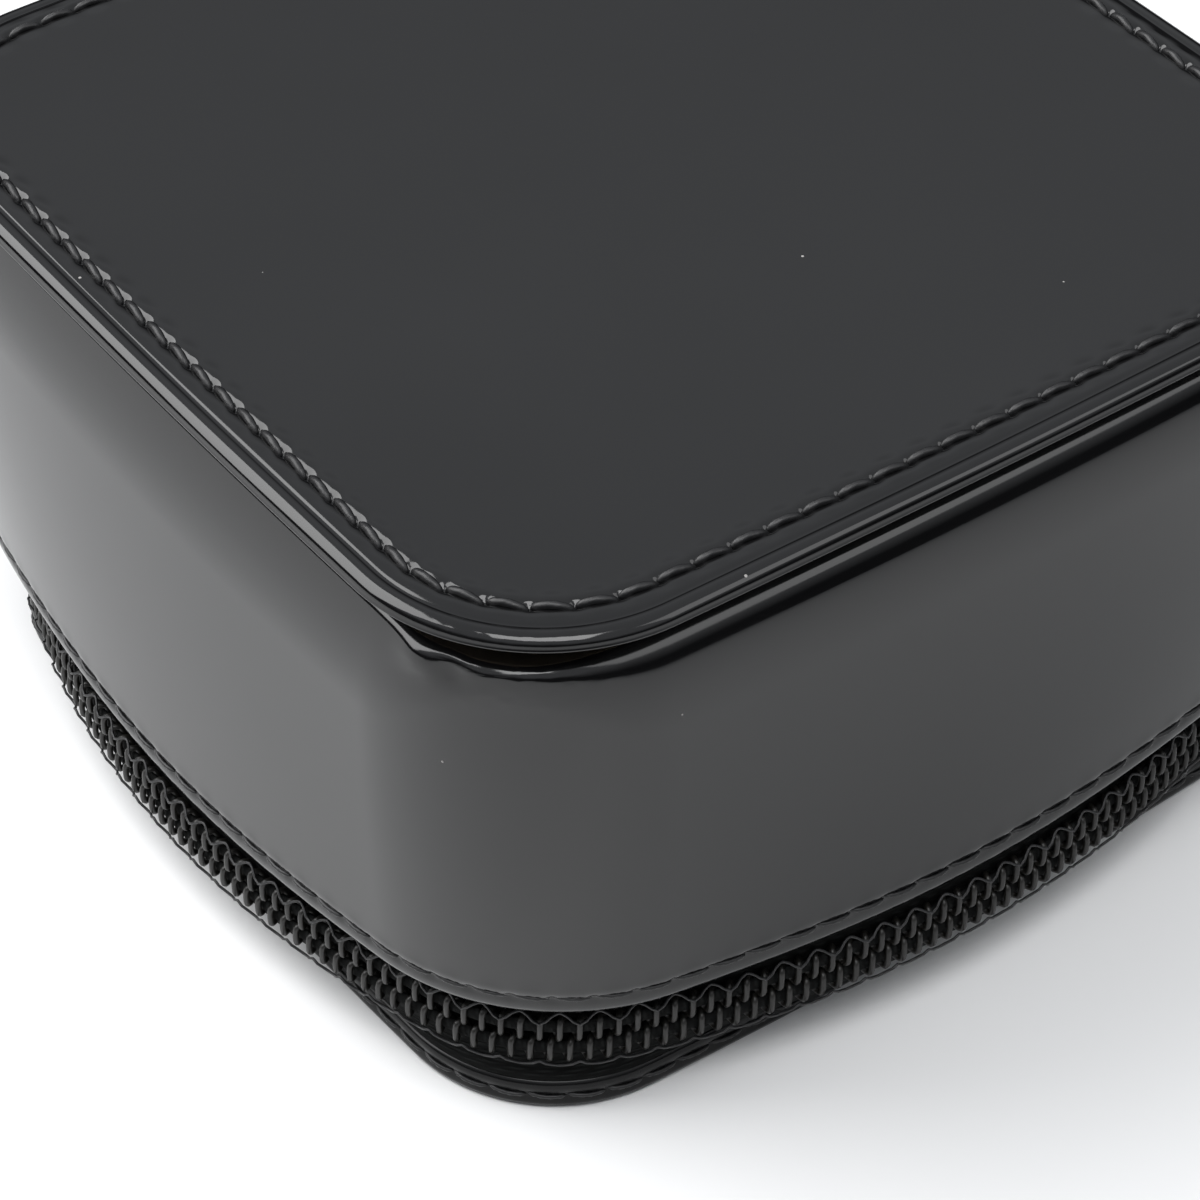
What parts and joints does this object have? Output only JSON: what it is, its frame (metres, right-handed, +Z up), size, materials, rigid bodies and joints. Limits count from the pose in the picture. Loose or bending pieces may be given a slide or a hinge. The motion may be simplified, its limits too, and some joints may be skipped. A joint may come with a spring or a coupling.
{
  "type": "leather jewellery case",
  "caption": "Zip-round leather jewellery case: rounded square, deep hinged lid over a shallow base with a divided tray, ring rolls, lid mirror and a sliding zip pull.",
  "frame": {"origin": "centre of the base's underside, on the surface that the case stands on", "axes": "+Z up, -Y towards the front of the case, +Y towards the hinge spine, +X towards the side that the zip slider is parked on"},
  "size_m": [0.0942, 0.0902, 0.0511],
  "materials": {
    "patent_leather": "glossy black patent coat over smooth leather",
    "thread": "bonded polyester sewing thread, slight sheen",
    "board": "compressed fibre stiffening board",
    "suede": "soft suede-like lining",
    "roll_suede": "suede-like cover over foam",
    "zip_tape": "matt woven polyester tape",
    "zip_coil": "satin nylon coil",
    "zip_metal": "polished nickel plate",
    "mirror": "silvered glass"
  },
  "bodies": {
    "base": {"base_panel": "patent_leather", "base_board": "board", "base_stitching": "thread", "base_lining": "suede", "hinge_spine_lower": "patent_leather", "zip_tape_lower": "zip_tape", "zip_coil_lower": "zip_coil", "zip_bottom_stop": "zip_metal", "zip_top_stop_lower": "zip_metal", "tray_frame": "suede", "tray_divider_long": "suede", "tray_divider_cross": "suede", "ring_roll_front": "roll_suede", "ring_roll_middle": "roll_suede", "ring_roll_back": "roll_suede", "compartment_pad_left": "suede", "compartment_pad_right": "suede"},
    "lid": {"lid_top_panel": "patent_leather", "lid_top_board": "board", "lid_top_stitching": "thread", "lid_wall": "patent_leather", "lid_wall_board": "board", "lid_hem_stitching": "thread", "lid_wall_lining": "suede", "lid_top_pad": "suede", "mirror_frame": "patent_leather", "lid_mirror": "mirror", "hinge_spine_upper": "patent_leather", "zip_tape_upper": "zip_tape", "zip_coil_upper": "zip_coil", "zip_top_stop_upper": "zip_metal"},
    "slider": {"zip_slider": "zip_metal"},
    "pull": {"zip_pull": "zip_metal", "pull_tab": "patent_leather"}
  },
  "joints": [
    {"name": "lid_hinge", "type": "hinge", "parent": "base", "child": "lid", "pos_m": [0, 0.0454, 0.0072], "axis": [-1, 0, 0], "range_deg": [0, 100]},
    {"name": "slider_travel", "type": "hinge", "parent": "base", "child": "slider", "pos_m": [-0.04485, 0, 0.0072], "axis": [0, 0, 1], "range_deg": [-31.84, 0]},
    {"name": "pull_swing", "type": "hinge", "parent": "slider", "child": "pull", "pos_m": [0.04424, 0.02545, 0.0072], "axis": [0, 0, 1], "range_deg": [0, 150]}
  ]
}
